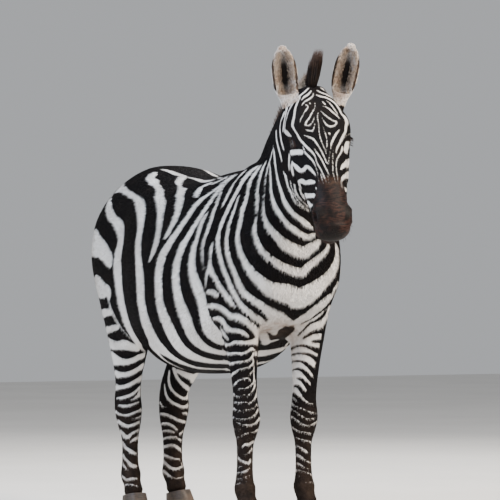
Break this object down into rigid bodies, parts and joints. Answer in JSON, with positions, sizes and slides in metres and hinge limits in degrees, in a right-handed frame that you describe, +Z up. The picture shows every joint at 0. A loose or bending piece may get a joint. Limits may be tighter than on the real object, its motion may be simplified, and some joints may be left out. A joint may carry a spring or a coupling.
{
  "type": "zebra",
  "caption": "Life-size plains zebra standing square with its head turned to its right, upright mane and forelock, cupped ears and a tufted tail.",
  "frame": {"origin": "on the floor under the middle of the animal's bounding box", "axes": "+Z up, the animal faces -Y along the length of its body, its left side is +X"},
  "size_m": [0.596, 1.6814, 1.6766],
  "materials": {
    "coat": "short flat coat with black and white stripes",
    "muzzle_skin": "bare dark brown skin with fine down, satin",
    "eyeball": "wet, near black",
    "hoof_horn": "dusty dark horn",
    "mane_hair": "stiff upright hair, banded dark and pale with brown tips",
    "dark_hair": "long near-black hair"
  },
  "bodies": {
    "root": {"torso": "coat", "neck": "coat", "head": "coat", "ear_left": "coat", "ear_right": "coat", "leg_fore_left": "coat", "leg_fore_right": "coat", "leg_hind_left": "coat", "leg_hind_right": "coat", "tail": "coat", "muzzle": "muzzle_skin", "eye_left": "eyeball", "eye_right": "eyeball", "hoof_fore_left": "hoof_horn", "hoof_fore_right": "hoof_horn", "hoof_hind_left": "hoof_horn", "hoof_hind_right": "hoof_horn", "mane": "mane_hair", "forelock": "dark_hair", "tail_tuft": "dark_hair"}
  },
  "joints": []
}
